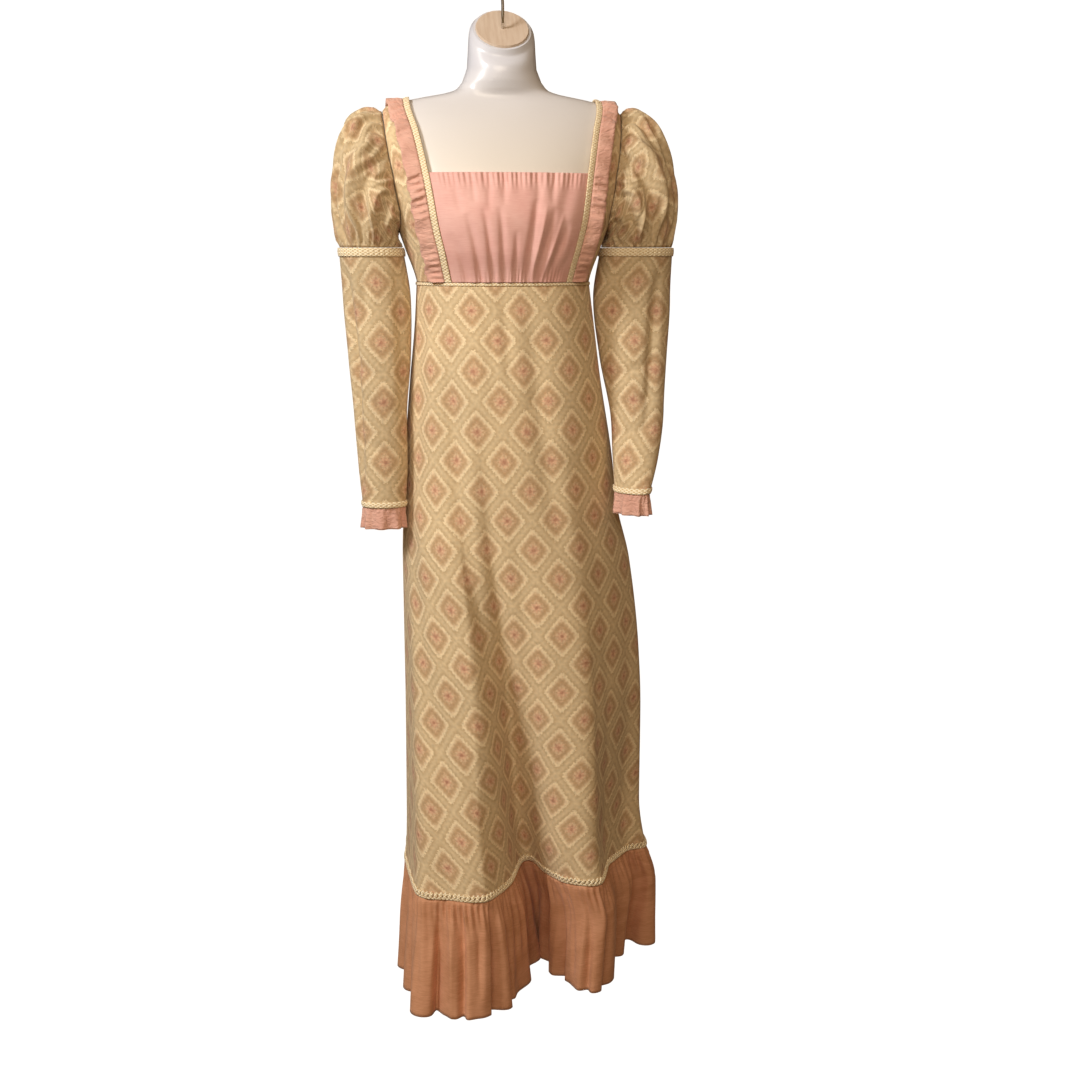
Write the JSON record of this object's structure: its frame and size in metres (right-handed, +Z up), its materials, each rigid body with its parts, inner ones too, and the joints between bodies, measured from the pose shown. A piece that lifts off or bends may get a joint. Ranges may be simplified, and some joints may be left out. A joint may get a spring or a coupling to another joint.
{
  "type": "prairie dress on a limbless hanging torso form",
  "caption": "Long prairie dress with puffed long sleeves, ruffled straps and a gathered flounce, hanging on a plain torso form by its hook",
  "frame": {"origin": "the seat of the hook, where a rail carries the form", "axes": "+Z up; the dress faces -Y and its wearer's right arm is at -X"},
  "size_m": [0.5263, 0.4341, 1.6212],
  "materials": {
    "lattice_cotton": "printed cotton, soft and matt",
    "pink_cotton": "plain cotton with a faint sheen",
    "cream_lace": "cotton lace and braid",
    "zip_tape": "woven tape",
    "white_plastic": "smooth moulded plastic",
    "beige_cap": "matt board",
    "hook_steel": "bright wire",
    "zip_metal": "satin metal"
  },
  "bodies": {
    "dress": {"torso_form": "white_plastic", "neck_cap": "beige_cap", "hook": "hook_steel", "bodice_front": "pink_cotton", "side_front_left": "lattice_cotton", "side_front_right": "lattice_cotton", "bodice_back_left": "lattice_cotton", "bodice_back_right": "lattice_cotton", "neck_trim_left": "cream_lace", "neck_trim_right": "cream_lace", "ruffle_left": "pink_cotton", "ruffle_right": "pink_cotton", "skirt_front": "lattice_cotton", "skirt_back_right": "lattice_cotton", "skirt_back_left": "lattice_cotton", "flounce_front": "pink_cotton", "flounce_back": "pink_cotton", "flounce_trim_front": "cream_lace", "flounce_trim_back": "cream_lace", "waist_trim": "cream_lace", "puff_left": "lattice_cotton", "puff_right": "lattice_cotton", "lower_sleeve_left": "lattice_cotton", "lower_sleeve_right": "lattice_cotton", "sleeve_band_left": "cream_lace", "sleeve_band_right": "cream_lace", "wrist_trim_left": "cream_lace", "wrist_trim_right": "cream_lace", "cuff_ruffle_left": "pink_cotton", "cuff_ruffle_right": "pink_cotton", "zip_tape": "zip_tape", "zip_slider": "zip_metal"},
    "zip_pull": {"zip_pull_tab": "zip_metal"}
  },
  "joints": [
    {"name": "pull_tab_swing", "type": "hinge", "parent": "dress", "child": "zip_pull", "pos_m": [0, 0.09986, -0.2916], "axis": [1, 0, 0], "range_deg": [0, 165]}
  ]
}
